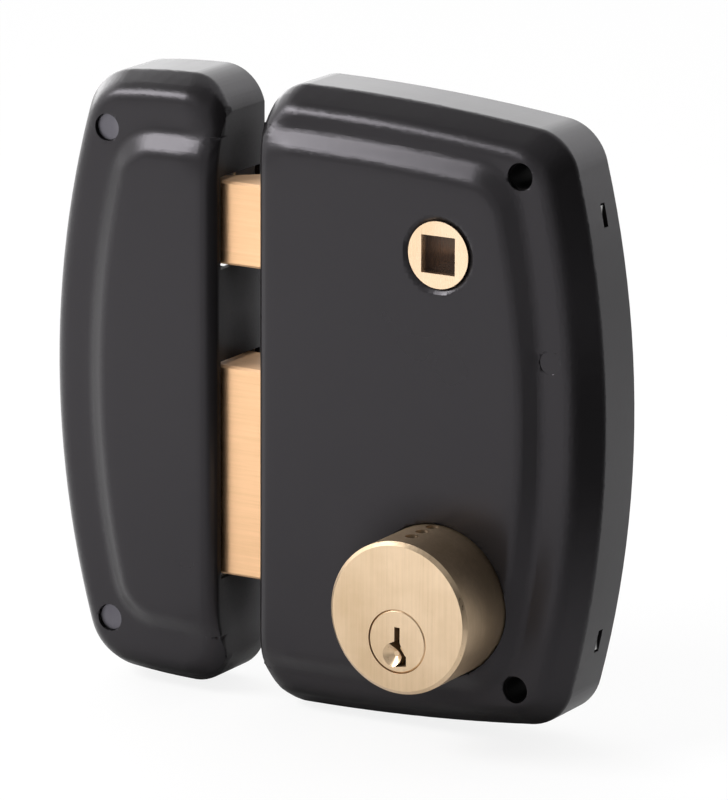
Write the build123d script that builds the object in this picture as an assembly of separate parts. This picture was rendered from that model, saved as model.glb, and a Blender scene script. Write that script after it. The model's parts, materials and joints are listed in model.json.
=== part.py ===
from build123d import *
import os
from math import asin, cos, degrees, pi, radians, sin, sqrt

# Rim lock for a gate or door, with the keeper that stands beside it, in millimetres.
# X runs from the keeper towards the lock, +Y goes into the door and +Z is up.
# The origin is on the axis of the cylinder plug, in the plane that lies against the door.

# Case of the lock: one straight side at the forend, the other side bowed
BACKSET = 45.0  # forend face to the axes of the plug and the spindle
MIDDLE_Z = 42.7  # middle of the case above the plug's axis
CASE_WIDTH = 80.2  # forend face to the crown of the bowed side
CASE_HEIGHT = 136.0
CASE_DEPTH = 22.0
CASE_SIDE_ROUND = 222.0
CASE_TOP_ROUND = 480.0
CASE_TOP_CROWN = 5.0  # highest point of the top, from the forend face
CASE_STRAIGHT_CORNER = 8.5
CASE_BOWED_CORNER = 11.0

# Keeper: the same pressing in mirror image, narrower and rounder
KEEPER_GAP = 10.6  # between the lock's forend face and the keeper's straight side
KEEPER_WIDTH = 44.2
KEEPER_HEIGHT = 135.0
KEEPER_SIDE_ROUND = 205.0
KEEPER_TOP_ROUND = 150.0
KEEPER_TOP_CROWN = 9.0
KEEPER_STRAIGHT_CORNER = 10.0
KEEPER_BOWED_CORNER = 12.0

# Pressed steel of both covers
SHEET = 1.2
RIM_DROP = 2.7  # raised field down to the rim
SHOULDER_DROP = 9.0  # raised field down to the crease above the skirt
CASE_SHOULDER = 4.3
KEEPER_SHOULDER = 3.4
RIM_CORNER_LOSS = 2.0  # how much smaller the rim's corner radii are than the crease's
STEP_RUN = 4.2  # width of the slope between field and rim
RIM_ROUND = 4.2
CREASE_ROUND = 2.4
FIELD_ROUND = 3.6
FOOT_ROUND = 3.0
TRIMMED = 0.3  # drawn beyond the straight side and cut off there
FOLD_ROUND = 3.5  # along the straight side
CASE_FIELD_TOP = 8.4
CASE_FIELD_SIDE = 11.5
CASE_FIELD_CORNER = 12
KEEPER_FIELD_TOP = 12.2
KEEPER_FIELD_SIDE = 12
KEEPER_FIELD_CORNER = 12

# Hole in the case plate behind the end of the plug
TAILPIECE_HOLE = 6.3

# Clearances
FIT = 0.08  # radial, for what turns in a hole
SLIDE = 0.4  # round what slides through a window
SEAT = 0.3  # between a plate and the skirt round it
TOUCH = 0.15  # between a driving arm and what it pushes

# Plate at the back of the case, with the forend bent up from it
PLATE = 2.0
FOREND_GAP = 0.3
BEND_INSIDE = 10.0  # how far the forend stays inside the case's ends
LUG_Z = 46.0  # snap lugs, above and below the middle
LUG_DEPTH = 5.6  # their noses, from the door
LUG_LENGTH = 4.0
LUG_THICKNESS = 1.3
LUG_HEIGHT = 7.6
SLOT_LENGTH = 5.0
SLOT_WIDTH = 1.8

# Fixing tubes for the screws that hold the lock on the door
FIXING_FROM_SIDE = 17.3  # their axes, from the crown of the bowed side
FIXING_FROM_END = 12.8
FIXING_HOLE = 2.8
FIXING_TUBE = 3.4
TUBE_EDGE = 0.45
COVER_HOLE = 2.95

# Riveted post between plate and cover
POST_FROM_SIDE = 9.8  # its axis, from the crown of the bowed side
POST_Z = 16.6  # above the middle
POST_RADIUS = 3.2
POST_END = 2.4

# Bolts: both have their front face at the same depth
BOLT_FRONT = 5.0  # behind the raised field
BOLT_THICKNESS = 14.0
BOLT_EDGE = 0.5
LATCH_Z = 79.2
LATCH_HEIGHT = 18.2
LATCH_PROJECTION = 15.0
LATCH_TRAVEL = 14.5
LATCH_LENGTH = 26.0
LATCH_BEVEL = 12.5
LATCH_NOSE = 3.5
DEADBOLT_Z = 24.7
DEADBOLT_HEIGHT = 46.4
DEADBOLT_PROJECTION = 20.5
DEADBOLT_TRAVEL = 20.0
DEADBOLT_LENGTH = 28.0

# Tail plates riveted into the backs of the bolts
TAIL = 3.0
TAIL_BACK = 6.0  # from the door
TAIL_ROOT = 7.0  # length held in the bolt
RIVET_RADIUS = 1.7
GUIDE_PIN = 2.1
GUIDE_SHOULDER = 3.2
GUIDE_HEAD = 3.6
GUIDE_HEAD_THICKNESS = 1.4
GUIDE_PLAY = 0.12

# Latch tail: a leg, a low strip with the guide slot and a horn that the hub's arm pushes
LATCH_ROOT_Z = 73.8
LATCH_ROOT_HEIGHT = 5.4
LEG_WIDTH = 6.6
STRIP_LOW = 49.5
STRIP_HEIGHT = 8.0
STRIP_END = 2.2
HORN_WIDTH = 6.3
HORN_HEIGHT = 6.0
LATCH_GUIDE_X = -8.0

# Spindle hub
SPINDLE_Z = 79.7
SPINDLE_SQUARE = 8.1
HUB_JOURNAL = 7.2
HUB_BODY = 8.6
HUB_PROUD = 0.1
HUB_AIR = 0.3
DISH_RADIUS = 8.5
DISH_DEPTH = 0.8
ARM_TURN = 45.0  # degrees that the hub turns to draw the latch
ARM_TIP = 3.0
ARM_NECK = 3.0
ARM_ROOT = 6.5

# Latch spring
SPRING_Z = 82.6
SPRING_MEAN = 3.2
SPRING_WIRE = 0.45
SPRING_TURNS = 11
SPRING_BORE = 4.0
SPRING_BORE_DEPTH = 16.0
SPRING_SEAT_X = -13.0
SEAT_LUG = 2.5
SEAT_HEIGHT = 8.0
SPIGOT = 2.2
SPIGOT_LENGTH = 4.0

# Deadbolt tail
DEAD_TAIL_LOW = 9.5
DEAD_TAIL_HIGH = 40.0
DEAD_TAIL_END = 5.0
DEAD_GUIDE_X = -12.0
DEAD_GUIDE_Z = 31.0
DRAG_X = -14.0
DRAG_NOSE = 1.4
DRAG_LEAF = 0.6
DRAG_WIDTH = 2.6
DRAG_POST_X = 10.0
DRAG_POST_Z = 45.2
DRAG_POST = 2.6
DRAG_FLANGE = 3.8

# Cylinder: the plug's bore lies below the middle of the round body
CYLINDER_RADIUS = 16.5
CYLINDER_RISE = 5.0  # body's axis above the plug's axis
CYLINDER_PROUD = 16.0  # in front of the raised field
CYLINDER_REAR = 9.5  # its rear face, from the door
CYLINDER_BEVEL = 0.8
COVER_AIR = 0.3
PLUG_HEAD = 6.85
PLUG_HEAD_LENGTH = 2.4
PLUG_RADIUS = 6.4
PLUG_EDGE = 0.35
PLUG_TAIL = 4.5
PLUG_TAIL_FLAT = 3.4
PLUG_TAIL_END = 3.2  # from the door
DRIVE_SLOT = 2.2
DRIVE_SLOT_DEPTH = 3.0
KEYWAY_WIDTH = 1.3
KEYWAY_REAR = 2.0
KEY_GUIDE_X = -0.8  # conical lead-in at the low end of the keyway
KEY_GUIDE_Z = -3.0
KEY_GUIDE_RADIUS = 2.6
KEY_GUIDE_TIP = 0.6
KEY_GUIDE_DEPTH = 1.3

# Pin stacks
PIN_COUNT = 5
PIN_PITCH = 4.3
PIN_FIRST = 6.0  # behind the cylinder's face
PIN_RADIUS = 1.35
PIN_PLAY = 0.1
PIN_CUTS = (1.2, 2.4, 0.8, 1.9, 1.4)  # height of each key pin's point above the plug's axis
PIN_AIR = 0.12
DRIVER_LENGTH = 4.4
CHAMBER_CAP = 2.2
CAP_SINK = 0.7
PIN_SPRING_WIRE = 0.18
PIN_SPRING_TURNS = 7

# Cam on the back of the plug
CAM_REACH = 14.0
CAM_TIP = 2.4
CAM_NECK = 2.8
CAM_BOSS = 6.2
CAM_THICKNESS = 3.3
CAM_LASH = 0.65
NOTCH_HEIGHT = 7.6
CLIP_THICKNESS = 0.8
CLIP_RADIUS = 6.0
CLIP_GROOVE = 3.7
CLIP_MOUTH = 4.6

# Screws that hold the cylinder from the back
CYLINDER_SCREW_X = 11.0
CYLINDER_SCREW_Z = -2.0
SCREW_RADIUS = 2.0
SCREW_HEAD = 3.7
SCREW_HOLE = 2.2
SCREW_LENGTH = 17.0
SCREW_SLOT = 0.9
SCREW_SLOT_DEPTH = 0.8
BOSS_RADIUS = 4.0

# Keeper frame and posts
FRAME_PLATE = 2.5
FRAME_GAP = 0.15
FRAME_BORDER = 8.0
KEEPER_WINDOW_AIR = 1.0
KEEPER_POST_SIDE = 27.8  # from the keeper's straight side
KEEPER_POST_FROM_END = 12.9
KEEPER_POST_RADIUS = 3.7
KEEPER_POST_FOOT = 3.0
KEEPER_POST_END = 2.8
KEEPER_POST_EDGE = 0.4
KEEPER_HOLE = 3.0
KEEPER_SINK = 0.9
KEEPER_THREAD = 2.1
KEEPER_THREAD_DEPTH = 12.0

# Places worked out from the values above; depths count from the door, towards the room
FOREND = -BACKSET
FRONT = -CASE_DEPTH
RIM = FRONT + RIM_DROP
CREASE = FRONT + SHOULDER_DROP
KEEPER_FACE = FOREND - KEEPER_GAP
BOLT_FACE = FRONT + BOLT_FRONT
BOLT_BACK = BOLT_FACE + BOLT_THICKNESS
TAIL_FACE = -TAIL_BACK - TAIL
LATCH_TIP = FOREND - LATCH_PROJECTION
LATCH_REAR = LATCH_TIP + LATCH_LENGTH
DEADBOLT_TIP = FOREND - DEADBOLT_PROJECTION
DEADBOLT_REAR = DEADBOLT_TIP + DEADBOLT_LENGTH
CYLINDER_FACE = FRONT - CYLINDER_PROUD
CYLINDER_BACK = -CYLINDER_REAR
CAM_TURN = 2 * degrees(asin(DEADBOLT_TRAVEL / 2 / CAM_REACH))
ARM_REACH = LATCH_TRAVEL / 2 / sin(radians(ARM_TURN / 2))
ARM_TIP_X = -LATCH_TRAVEL / 2
HORN_X = ARM_TIP_X + ARM_TIP + TOUCH
NOTCH_X = -DEADBOLT_TRAVEL / 2
FLANGE_X = FOREND + SHEET + FOREND_GAP
PIN_TOP = sqrt(PLUG_RADIUS**2 - PIN_RADIUS**2) - PIN_AIR / 2
DRIVER_LOW = PLUG_RADIUS + FIT + PIN_AIR / 2
CYLINDER_TOP = CYLINDER_RISE + CYLINDER_RADIUS
CAP_LOW = CYLINDER_TOP - CAP_SINK - CHAMBER_CAP
FIXING_X = FOREND + CASE_WIDTH - FIXING_FROM_SIDE
FIXING_Z = CASE_HEIGHT / 2 - FIXING_FROM_END
POST_X = FOREND + CASE_WIDTH - POST_FROM_SIDE
KEEPER_POST_X = KEEPER_FACE - KEEPER_POST_SIDE
KEEPER_POST_Z = KEEPER_HEIGHT / 2 - KEEPER_POST_FROM_END


class Outline:
    """A cover's outline on the door: one straight side, a bowed side and gently arched ends."""

    def __init__(self, straight, hand, size, rounds, crown, corners, shoulder, field):
        self.straight = straight
        self.hand = hand  # +1 where the bowed side lies towards +X
        self.width, self.height = size
        self.side_round, self.top_round = rounds
        self.crown = straight + hand * crown
        self.straight_corner, self.bowed_corner = corners
        self.shoulder = shoulder
        self.field_top, self.field_side, self.field_corner = field

    def face(self, ends, side, straight, corners):
        """Flat face, set in by its own length at the ends, the bowed side and the straight side."""
        bow = self.straight + self.hand * self.width
        bowed = Pos(bow - self.hand * self.side_round, MIDDLE_Z) * Circle(self.side_round - side)
        rise = self.top_round - self.height / 2
        top = Pos(self.crown, MIDDLE_Z - rise) * Circle(self.top_round - ends)
        bottom = Pos(self.crown, MIDDLE_Z + rise) * Circle(self.top_round - ends)
        reach = 2 * self.height
        middle = self.straight + self.hand * (straight + reach / 2)
        shape = bowed & top & bottom & Pos(middle, MIDDLE_Z) * Rectangle(reach, reach)
        for index, corner in zip((0, -1), corners):
            if corner:
                pairs = shape.vertices().group_by(Axis.X)
                shape = fillet(pairs[index if self.hand > 0 else -1 - index], corner)
        return shape


CASE = Outline(
    FOREND,
    1,
    (CASE_WIDTH, CASE_HEIGHT),
    (CASE_SIDE_ROUND, CASE_TOP_ROUND),
    CASE_TOP_CROWN,
    (CASE_STRAIGHT_CORNER, CASE_BOWED_CORNER),
    CASE_SHOULDER,
    (CASE_FIELD_TOP, CASE_FIELD_SIDE, CASE_FIELD_CORNER),
)
KEEPER = Outline(
    KEEPER_FACE,
    -1,
    (KEEPER_WIDTH, KEEPER_HEIGHT),
    (KEEPER_SIDE_ROUND, KEEPER_TOP_ROUND),
    KEEPER_TOP_CROWN,
    (KEEPER_STRAIGHT_CORNER, KEEPER_BOWED_CORNER),
    KEEPER_SHOULDER,
    (KEEPER_FIELD_TOP, KEEPER_FIELD_SIDE, KEEPER_FIELD_CORNER),
)


def level(y):
    """Plane parallel to the door at depth y, drawn in X and Z and facing the room."""
    return Plane(origin=(0, y, 0), x_dir=(1, 0, 0), z_dir=(0, -1, 0))


def slab(sketch, back, front):
    """Solid with the sketch's outline in X and Z, from one depth to another."""
    return extrude(level(back) * sketch, amount=back - front)


def disc(x, z, radius, back, front):
    return slab(Pos(x, z) * Circle(radius), back, front)


def block(x, y, z):
    """Box from its two limits along each axis."""
    size = [limits[1] - limits[0] for limits in (x, y, z)]
    middle = [(limits[0] + limits[1]) / 2 for limits in (x, y, z)]
    return Pos(*middle) * Box(*size)


def polygon(points):
    return make_face(Polyline(*points, close=True))


def coil(start, axis, length, mean_radius, wire_radius, turns):
    """Helical spring as one tube, each half turn a pair of tangent arcs."""
    base = Plane(origin=start, z_dir=axis)
    quarters = 4 * turns

    def place(quarter):
        angle = quarter * pi / 2
        height = length * quarter / quarters
        return base.from_local_coords(Vector(mean_radius * cos(angle), mean_radius * sin(angle), height))

    rise = length / turns / (2 * pi * mean_radius)
    heading = base.from_local_coords(Vector(0, 1, rise)) - Vector(*start)
    arcs = []
    for quarter in range(quarters):
        arc = TangentArc(place(quarter), place(quarter + 1), tangent=heading)
        heading = arc % 1
        arcs.append(arc)
    path = Wire(arcs)
    section = Plane(origin=path @ 0, z_dir=path % 0) * Circle(wire_radius)
    return sweep(section, path=path)


def pressed_form(outline, inset):
    """Solid bounded by one skin of a cover; inset 0 is the outside, SHEET the inside.

    It is drawn a little beyond the straight side and trimmed there by the folded bar.
    """
    crease_corners = (outline.straight_corner - inset, outline.bowed_corner - inset)
    crease_face = outline.face(inset, inset, inset - TRIMMED, crease_corners)
    rim_corners = [corner - RIM_CORNER_LOSS for corner in crease_corners]
    rim_inset = inset + outline.shoulder
    rim_face = outline.face(rim_inset, rim_inset, inset - TRIMMED, rim_corners)
    body = slab(crease_face, inset, CREASE + inset)
    body += loft([level(CREASE + inset) * crease_face, level(RIM + inset) * rim_face], ruled=True)
    body = fillet(edges_at(body, outline, CREASE + inset, inset), CREASE_ROUND)
    body = fillet(edges_at(body, outline, RIM + inset, inset), RIM_ROUND - inset)
    body &= folded_bar(outline, inset, RIM)
    body += raised_field(outline, inset)
    return body & folded_bar(outline, inset, FRONT)


def edges_at(solid, outline, y, from_side):
    """Edges of a solid at depth y that lie further from the straight side than from_side."""
    limit = outline.straight + outline.hand * (from_side + 0.1)
    found = solid.edges().filter_by_position(Axis.Y, y - 0.01, y + 0.01)
    return found.filter_by(lambda edge: (edge.center().X - limit) * outline.hand > 0)


def field_faces(outline, inset):
    """Flat outlines of the raised field at the foot and at the top of its slope."""
    faces = []
    for run in (0, STEP_RUN):
        ends = outline.field_top + inset + run
        side = outline.field_side + inset + run
        corner = outline.field_corner - inset - run
        faces.append(outline.face(ends, side, inset - TRIMMED, (0, corner)))
    return faces


def raised_field(outline, inset):
    """The field that stands above the rim, from the straight side to near the other three."""
    foot, top = field_faces(outline, inset)
    field = loft([level(RIM + inset) * foot, level(FRONT + inset) * top], ruled=True)
    field = fillet(edges_at(field, outline, FRONT + inset, inset), FIELD_ROUND - inset)
    return field + slab(foot, RIM + inset + FOLD_ROUND, RIM + inset)


def folded_bar(outline, inset, y):
    """Bar along Z, from depth y backwards, rounded like the fold on the straight side."""
    near = outline.straight + outline.hand * inset
    far = near + outline.hand * (CASE_WIDTH + CASE_HEIGHT)
    front = y + inset
    z = (MIDDLE_Z - CASE_HEIGHT, MIDDLE_Z + CASE_HEIGHT)
    bar = block(sorted((near, far)), (front, CASE_DEPTH), z)
    front_edges = bar.edges().filter_by(Axis.Z).group_by(Axis.Y)[0].sort_by(Axis.X)
    return fillet(front_edges[0 if outline.hand > 0 else -1], FOLD_ROUND - inset)


def cover_shell(outline, half):
    """Pressed cover, open at the back, with the foot of its raised field eased.

    Its two halves mirror each other, so only the named one is kept from the pressing.
    """
    outside = pressed_form(outline, 0)
    foot = field_faces(outline, 0)[0]
    foot_line = (level(RIM) * foot).faces()[0].outer_wire()
    edges = edges_at(outside, outline, RIM, FOLD_ROUND)
    edges = edges.filter_by(lambda edge: foot_line.distance_to(edge.center()) < 0.02)
    shell = fillet(edges, FOOT_ROUND) - pressed_form(outline, SHEET)
    middle = Plane.XY.offset(MIDDLE_Z)
    shell = split(shell, middle, keep=half)
    return shell + mirror(shell, middle)


def bolt_window(x, air):
    """Cutter through a wall across X, with room round both bolts."""
    cutters = []
    for z, height in ((LATCH_Z, LATCH_HEIGHT), (DEADBOLT_Z, DEADBOLT_HEIGHT)):
        half = height / 2 + air
        cutters.append(block(x, (BOLT_FACE - air, BOLT_BACK + air), (z - half, z + half)))
    return cutters


def lock_cover():
    cover = cover_shell(CASE, Keep.TOP)
    beyond = FRONT - 1
    cover -= disc(0, SPINDLE_Z, HUB_JOURNAL + FIT, 0, beyond)
    dish = Pos(0, 0, SPINDLE_Z) * Rot(90, 0, 0) * Cone(HUB_JOURNAL + FIT, DISH_RADIUS, DISH_DEPTH)
    cover -= Pos(0, FRONT + DISH_DEPTH / 2, 0) * dish
    cover -= disc(0, CYLINDER_RISE, CYLINDER_RADIUS + COVER_AIR, 0, beyond)
    for side in (-1, 1):
        cover -= disc(FIXING_X, MIDDLE_Z + side * FIXING_Z, COVER_HOLE, 0, beyond)
        slot_z = MIDDLE_Z + side * LUG_Z
        slot_y = (-LUG_DEPTH - SLOT_WIDTH / 2, -LUG_DEPTH + SLOT_WIDTH / 2)
        cover -= block((0, CASE_WIDTH), slot_y, (slot_z - SLOT_LENGTH / 2, slot_z + SLOT_LENGTH / 2))
    cover -= disc(POST_X, MIDDLE_Z + POST_Z, POST_END, 0, beyond)
    for cutter in bolt_window((FOREND - 1, FLANGE_X), SLIDE):
        cover -= cutter
    return cover


def lug(side):
    """Snap lug at the bowed side, with a nose that reaches into the cover's slot."""
    z = MIDDLE_Z + side * LUG_Z
    half = LUG_LENGTH / 2
    drop = (LUG_Z + half) ** 2 / (2 * CASE_SIDE_ROUND)
    outer = FOREND + CASE_WIDTH - drop - SHEET - 2 * TOUCH
    upright = block((outer - LUG_THICKNESS, outer), (-LUG_HEIGHT, -PLATE), (z - half, z + half))
    nose_half = SLOT_WIDTH / 2 - TOUCH
    nose_y = (-LUG_DEPTH - nose_half, -LUG_DEPTH + nose_half)
    return upright + block((outer, outer + SHEET), nose_y, (z - half, z + half))


def case_plate():
    inset = SHEET + SEAT
    corners = (CASE_STRAIGHT_CORNER - inset, CASE_BOWED_CORNER - inset)
    plate = slab(CASE.face(inset, inset, inset, corners), 0, -PLATE)
    half = CASE_HEIGHT / 2 - BEND_INSIDE
    forend_front = RIM + SHEET + FOLD_ROUND
    forend = block((FLANGE_X, FLANGE_X + PLATE), (forend_front, 0), (MIDDLE_Z - half, MIDDLE_Z + half))
    plate += forend
    for cutter in bolt_window((FOREND, FLANGE_X + 2 * PLATE), SLIDE / 2):
        plate -= cutter
    for side in (-1, 1):
        plate += lug(side)
        boss_x = side * CYLINDER_SCREW_X
        plate += disc(boss_x, CYLINDER_SCREW_Z, BOSS_RADIUS, -PLATE, CYLINDER_BACK)
        plate -= disc(boss_x, CYLINDER_SCREW_Z, SCREW_HOLE, 0, CYLINDER_BACK)
        plate -= Pos(boss_x, 0, CYLINDER_SCREW_Z) * screw_head(SCREW_HEAD + SCREW_HOLE - SCREW_RADIUS)
        plate -= disc(FIXING_X, MIDDLE_Z + side * FIXING_Z, FIXING_HOLE, 0, -PLATE)
    plate -= disc(0, 0, TAILPIECE_HOLE, 0, -PLATE)
    plate -= disc(0, SPINDLE_Z, HUB_JOURNAL + FIT, 0, -PLATE)
    for x, z, radius in riveted_feet():
        plate -= disc(x, z, radius, 0, -PLATE)
    return plate


def riveted_feet():
    """Place and radius of each post's foot in the case plate."""
    return (
        (POST_X, MIDDLE_Z + POST_Z, POST_END),
        (LATCH_GUIDE_X, latch_guide_z(), GUIDE_PIN),
        (DEAD_GUIDE_X, DEAD_GUIDE_Z, GUIDE_PIN),
        (DRAG_POST_X, DRAG_POST_Z, DRAG_POST / 2),
        (SPRING_SEAT_X + SEAT_LUG / 2, SPRING_Z, SEAT_LUG / 2),
    )


def latch_guide_z():
    return STRIP_LOW + STRIP_HEIGHT / 2


def fixing_tubes():
    tubes = []
    for side in (-1, 1):
        z = MIDDLE_Z + side * FIXING_Z
        tube = disc(FIXING_X, z, FIXING_TUBE, -PLATE, RIM + SHEET)
        tube = chamfer(tube.edges().group_by(Axis.Y)[0], TUBE_EDGE)
        tubes.append(tube - disc(FIXING_X, z, FIXING_HOLE, -PLATE, RIM + SHEET))
    return Compound(tubes)


def cover_post():
    """Post whose ends are riveted into the plate and, flush, into the cover's rim."""
    z = MIDDLE_Z + POST_Z
    post = disc(POST_X, z, POST_RADIUS, -PLATE, RIM + SHEET)
    return post + disc(POST_X, z, POST_END, 0, RIM)


def latch_bolt():
    half = LATCH_HEIGHT / 2
    bolt = block((LATCH_TIP, LATCH_REAR), (BOLT_FACE, BOLT_BACK), (LATCH_Z - half, LATCH_Z + half))
    bolt = chamfer(bolt.faces().sort_by(Axis.Y)[0].edges(), BOLT_EDGE)
    wedge = Plane.XY * polygon((
        (LATCH_TIP, BOLT_FACE + LATCH_NOSE),
        (LATCH_TIP + LATCH_BEVEL, BOLT_BACK),
        (LATCH_TIP, BOLT_BACK),
    ))
    bolt -= Pos(0, 0, LATCH_Z - half) * extrude(wedge, amount=LATCH_HEIGHT)
    bore = Cylinder(SPRING_BORE, SPRING_BORE_DEPTH)
    bolt -= Pos(LATCH_REAR - SPRING_BORE_DEPTH / 2, spring_y(), SPRING_Z) * Rot(0, 90, 0) * bore
    root_half = LATCH_ROOT_HEIGHT / 2
    slot_z = (LATCH_ROOT_Z - root_half, LATCH_ROOT_Z + root_half)
    bolt -= block((LATCH_REAR - TAIL_ROOT, LATCH_REAR), (TAIL_FACE, -TAIL_BACK), slot_z)
    return bolt - latch_rivets()


def spring_y():
    return (BOLT_FACE + BOLT_BACK) / 2


def latch_tail():
    root_half = LATCH_ROOT_HEIGHT / 2
    root_low, root_high = LATCH_ROOT_Z - root_half, LATCH_ROOT_Z + root_half
    leg = (LATCH_REAR + TOUCH, LATCH_REAR + TOUCH + LEG_WIDTH)
    strip_high = STRIP_LOW + STRIP_HEIGHT
    outline = polygon((
        (LATCH_REAR - TAIL_ROOT, root_low),
        (LATCH_REAR - TAIL_ROOT, root_high),
        (leg[1], root_high),
        (leg[1], strip_high),
        (HORN_X, strip_high),
        (HORN_X, strip_high + HORN_HEIGHT),
        (HORN_X + HORN_WIDTH, strip_high + HORN_HEIGHT),
        (HORN_X + HORN_WIDTH, STRIP_LOW),
        (leg[0], STRIP_LOW),
        (leg[0], root_low),
    ))
    outline -= guide_slot(LATCH_GUIDE_X, latch_guide_z(), LATCH_TRAVEL)
    return slab(outline, -TAIL_BACK, TAIL_FACE) - latch_rivets()


def guide_slot(x, z, travel):
    """Slot that lets a tail plate slide past its guide pin from rest to the end of its travel."""
    length = travel + 2 * GUIDE_PLAY
    return Pos(x - travel / 2, z) * SlotCenterToCenter(length, 2 * (GUIDE_PIN + GUIDE_PLAY))


def latch_rivets():
    """Rivets across the latch bolt and its tail's root."""
    rivets = []
    for share in (0.3, 0.75):
        x = LATCH_REAR - TAIL_ROOT * share
        rivets.append(disc(x, LATCH_ROOT_Z, RIVET_RADIUS / 2, BOLT_BACK, BOLT_FACE))
    return Compound(rivets)


def guide_post(x, z):
    """Shouldered post that carries a tail plate and keeps it from lifting."""
    post = disc(x, z, GUIDE_SHOULDER, -PLATE, -TAIL_BACK + TOUCH)
    post += disc(x, z, GUIDE_PIN, 0, TAIL_FACE - TOUCH)
    return post + disc(x, z, GUIDE_HEAD, TAIL_FACE - TOUCH, TAIL_FACE - TOUCH - GUIDE_HEAD_THICKNESS)


def spring_seat():
    """Lug on the plate that the latch spring pushes against, with a spigot inside the coil."""
    half = SEAT_HEIGHT / 2
    x = (SPRING_SEAT_X, SPRING_SEAT_X + SEAT_LUG)
    seat = block(x, (spring_y() - half, -PLATE), (SPRING_Z - half, SPRING_Z + half))
    seat += disc(SPRING_SEAT_X + SEAT_LUG / 2, SPRING_Z, SEAT_LUG / 2, 0, -PLATE)
    spigot = Cylinder(SPIGOT, SPIGOT_LENGTH)
    return seat + Pos(SPRING_SEAT_X - SPIGOT_LENGTH / 2, spring_y(), SPRING_Z) * Rot(0, 90, 0) * spigot


def latch_spring():
    start_x = LATCH_REAR - SPRING_BORE_DEPTH + SPRING_WIRE + TOUCH
    length = SPRING_SEAT_X - SPRING_WIRE - TOUCH - start_x
    return coil((start_x, spring_y(), SPRING_Z), (1, 0, 0), length, SPRING_MEAN, SPRING_WIRE, SPRING_TURNS)


def spindle_hub():
    """Hub with the square hole for the handle's spindle, and the arm that draws the latch."""
    hub = disc(0, SPINDLE_Z, HUB_BODY, -PLATE - HUB_AIR, FRONT + SHEET + HUB_AIR)
    hub += disc(0, SPINDLE_Z, HUB_JOURNAL, -HUB_AIR, FRONT + HUB_PROUD)
    neck_z = -ARM_REACH
    arm = polygon((
        (-ARM_ROOT, 0),
        (-ARM_NECK / 2, neck_z),
        (ARM_NECK / 2, neck_z),
        (ARM_ROOT, 0),
    ))
    arm += Pos(0, -ARM_REACH) * Circle(ARM_TIP)
    arm = Pos(0, SPINDLE_Z) * Rot(0, 0, -ARM_TURN / 2) * arm
    hub += slab(arm, -TAIL_BACK, TAIL_FACE)
    square = Pos(0, SPINDLE_Z) * Rectangle(SPINDLE_SQUARE, SPINDLE_SQUARE)
    return hub - slab(square, 0, FRONT - 1)


def deadbolt():
    half = DEADBOLT_HEIGHT / 2
    x = (DEADBOLT_TIP, DEADBOLT_REAR)
    bolt = block(x, (BOLT_FACE, BOLT_BACK), (DEADBOLT_Z - half, DEADBOLT_Z + half))
    bolt = chamfer(bolt.faces().sort_by(Axis.Y)[0].edges(), BOLT_EDGE)
    bolt = chamfer(bolt.faces().sort_by(Axis.X)[0].edges().sort_by(Axis.Y)[1:], BOLT_EDGE)
    root_x = (DEADBOLT_REAR - TAIL_ROOT, DEADBOLT_REAR)
    bolt -= block(root_x, (TAIL_FACE, -TAIL_BACK), (DEAD_TAIL_LOW, DEAD_TAIL_HIGH))
    return bolt - deadbolt_rivets()


def deadbolt_rivets():
    rivets = []
    for share in (0.2, 0.8):
        z = DEAD_TAIL_LOW + share * (DEAD_TAIL_HIGH - DEAD_TAIL_LOW)
        rivets.append(disc(DEADBOLT_REAR - TAIL_ROOT / 2, z, RIVET_RADIUS, BOLT_BACK, BOLT_FACE))
    return Compound(rivets)


def deadbolt_tail():
    left = DEADBOLT_REAR - TAIL_ROOT
    outline = Pos((left + DEAD_TAIL_END) / 2, (DEAD_TAIL_LOW + DEAD_TAIL_HIGH) / 2)
    outline *= Rectangle(DEAD_TAIL_END - left, DEAD_TAIL_HIGH - DEAD_TAIL_LOW)
    notch = Rectangle(2 * (CAM_TIP + CAM_LASH), 2 * NOTCH_HEIGHT)
    outline -= Pos(NOTCH_X, DEAD_TAIL_LOW) * notch
    outline -= guide_slot(DEAD_GUIDE_X, DEAD_GUIDE_Z, DEADBOLT_TRAVEL)
    return slab(outline, -TAIL_BACK, TAIL_FACE) - deadbolt_rivets()


def drag_spring():
    """Leaf whose round nose bears on the tail's top edge and holds the deadbolt where it is left."""
    nose_z = DEAD_TAIL_HIGH + DRAG_NOSE + TOUCH / 2
    arm = polygon((
        (DRAG_POST_X, DRAG_POST_Z - DRAG_POST - DRAG_LEAF),
        (DRAG_POST_X, DRAG_POST_Z - DRAG_POST),
        (DRAG_X, nose_z + DRAG_NOSE),
        (DRAG_X, nose_z + DRAG_NOSE - DRAG_LEAF),
    ))
    nose = Circle(DRAG_NOSE) - Circle(DRAG_NOSE - DRAG_LEAF)
    ring = Circle(DRAG_POST + DRAG_LEAF) - Circle(DRAG_POST)
    leaf = arm + Pos(DRAG_X, nose_z) * nose + Pos(DRAG_POST_X, DRAG_POST_Z) * ring
    middle = -TAIL_BACK - TAIL / 2
    return slab(leaf, middle + DRAG_WIDTH / 2, middle - DRAG_WIDTH / 2)


def drag_post():
    middle = -TAIL_BACK - TAIL / 2
    front = middle - DRAG_WIDTH / 2 - TOUCH
    base = middle + DRAG_WIDTH / 2 + TOUCH
    post = disc(DRAG_POST_X, DRAG_POST_Z, DRAG_POST, -PLATE, front)
    post += disc(DRAG_POST_X, DRAG_POST_Z, DRAG_POST / 2, 0, -PLATE)
    post += disc(DRAG_POST_X, DRAG_POST_Z, DRAG_FLANGE, -PLATE, base)
    return post + disc(DRAG_POST_X, DRAG_POST_Z, DRAG_FLANGE, front, front - GUIDE_HEAD_THICKNESS)


def pin_places():
    """Depth of each pin stack."""
    return [CYLINDER_FACE + PIN_FIRST + PIN_PITCH * index for index in range(PIN_COUNT)]


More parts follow.
